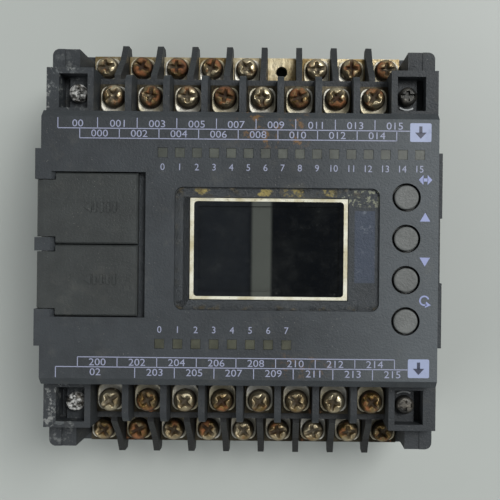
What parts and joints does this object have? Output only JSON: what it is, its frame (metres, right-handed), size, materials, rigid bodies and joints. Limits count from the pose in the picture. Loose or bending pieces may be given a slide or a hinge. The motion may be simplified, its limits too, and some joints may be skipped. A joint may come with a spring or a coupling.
{
  "type": "programmable logic controller module",
  "caption": "Compact programmable controller with two-tier screw terminals, display, round keys, hinged port covers and a sliding rail latch.",
  "frame": {"origin": "middle of the back, on the plane that it lies on", "axes": "+Z out of the face, +X to the right of the face, +Y towards the input terminals"},
  "size_m": [0.0788, 0.089, 0.0404],
  "materials": {
    "case_plastic": "fine-textured dark grey moulding",
    "cover_plastic": "fine-textured dark grey moulding",
    "key_plastic": "satin grey moulding",
    "lamp_plastic": "translucent olive-grey",
    "lens_plastic": "clear sheet",
    "bezel_plastic": "cream moulding",
    "display_glass": "black glass",
    "panel_plastic": "white diffuser",
    "plated_steel": "nickel plate with rust and tarnish",
    "mount_steel": "dull zinc plate",
    "connector_plastic": "black moulding",
    "contact_brass": "gold flash",
    "circuit_board": "green solder mask",
    "standoff_brass": "bare",
    "led_plastic": "clear moulded",
    "can_aluminium": "sleeved can",
    "choke_core": "ferrite"
  },
  "bodies": {
    "root": {"block_screws": "mount_steel", "board_standoffs": "standoff_brass", "cover_hinge_pin": "mount_steel", "display_backlight": "panel_plastic", "display_bezel": "bezel_plastic", "display_board": "circuit_board", "display_glass": "display_glass", "display_lens": "lens_plastic", "expansion_connector": "connector_plastic", "expansion_cover": "case_plastic", "front_case": "case_plastic", "input_couplers": "connector_plastic", "input_lamp_windows": "lamp_plastic", "input_leds": "led_plastic", "key_switches": "connector_plastic", "lower_block_header": "connector_plastic", "lower_board_connector": "connector_plastic", "lower_header_pins": "contact_brass", "lower_inner_plates": "plated_steel", "lower_inner_screws": "plated_steel", "lower_inner_washers": "plated_steel", "lower_outer_plates": "plated_steel", "lower_outer_screws": "plated_steel", "lower_outer_washers": "plated_steel", "lower_port_jack": "connector_plastic", "lower_port_jack_contacts": "contact_brass", "lower_terminal_block": "case_plastic", "memory_chip": "connector_plastic", "output_driver_chips": "connector_plastic", "output_lamp_windows": "lamp_plastic", "output_leds": "led_plastic", "power_capacitors": "can_aluminium", "power_inductor": "choke_core", "processor_board": "circuit_board", "processor_chip": "connector_plastic", "rear_base": "case_plastic", "terminal_board": "circuit_board", "upper_block_header": "connector_plastic", "upper_board_connector": "connector_plastic", "upper_header_pins": "contact_brass", "upper_inner_plates": "plated_steel", "upper_inner_screws": "plated_steel", "upper_inner_washers": "plated_steel", "upper_outer_plates": "plated_steel", "upper_outer_screws": "plated_steel", "upper_outer_washers": "plated_steel", "upper_port_jack": "connector_plastic", "upper_port_jack_contacts": "contact_brass", "upper_terminal_block": "case_plastic"},
    "upper_cover": {"upper_port_cover": "cover_plastic"},
    "lower_cover": {"lower_port_cover": "cover_plastic"},
    "swap_key": {"key_swap": "key_plastic"},
    "up_key": {"key_up": "key_plastic"},
    "down_key": {"key_down": "key_plastic"},
    "turn_key": {"key_turn": "key_plastic"},
    "latch": {"rail_latch": "cover_plastic"}
  },
  "joints": [
    {"name": "upper_cover_hinge", "type": "hinge", "parent": "root", "child": "upper_cover", "pos_m": [-0.0376, 0.0076, 0.03825], "axis": [0, -1, 0], "range_deg": [0, 105]},
    {"name": "lower_cover_hinge", "type": "hinge", "parent": "root", "child": "lower_cover", "pos_m": [-0.0376, -0.0064, 0.03825], "axis": [0, -1, 0], "range_deg": [0, 105]},
    {"name": "swap_key_press", "type": "slide", "parent": "root", "child": "swap_key", "axis": [0, 0, -1], "range_m": [0, 0.0004], "stiffness_N_per_m": 300},
    {"name": "up_key_press", "type": "slide", "parent": "root", "child": "up_key", "axis": [0, 0, -1], "range_m": [0, 0.0004], "stiffness_N_per_m": 300},
    {"name": "down_key_press", "type": "slide", "parent": "root", "child": "down_key", "axis": [0, 0, -1], "range_m": [0, 0.0004], "stiffness_N_per_m": 300},
    {"name": "turn_key_press", "type": "slide", "parent": "root", "child": "turn_key", "axis": [0, 0, -1], "range_m": [0, 0.0004], "stiffness_N_per_m": 300},
    {"name": "rail_latch_slide", "type": "slide", "parent": "root", "child": "latch", "axis": [0, -1, 0], "range_m": [0, 0.003], "stiffness_N_per_m": 800}
  ]
}
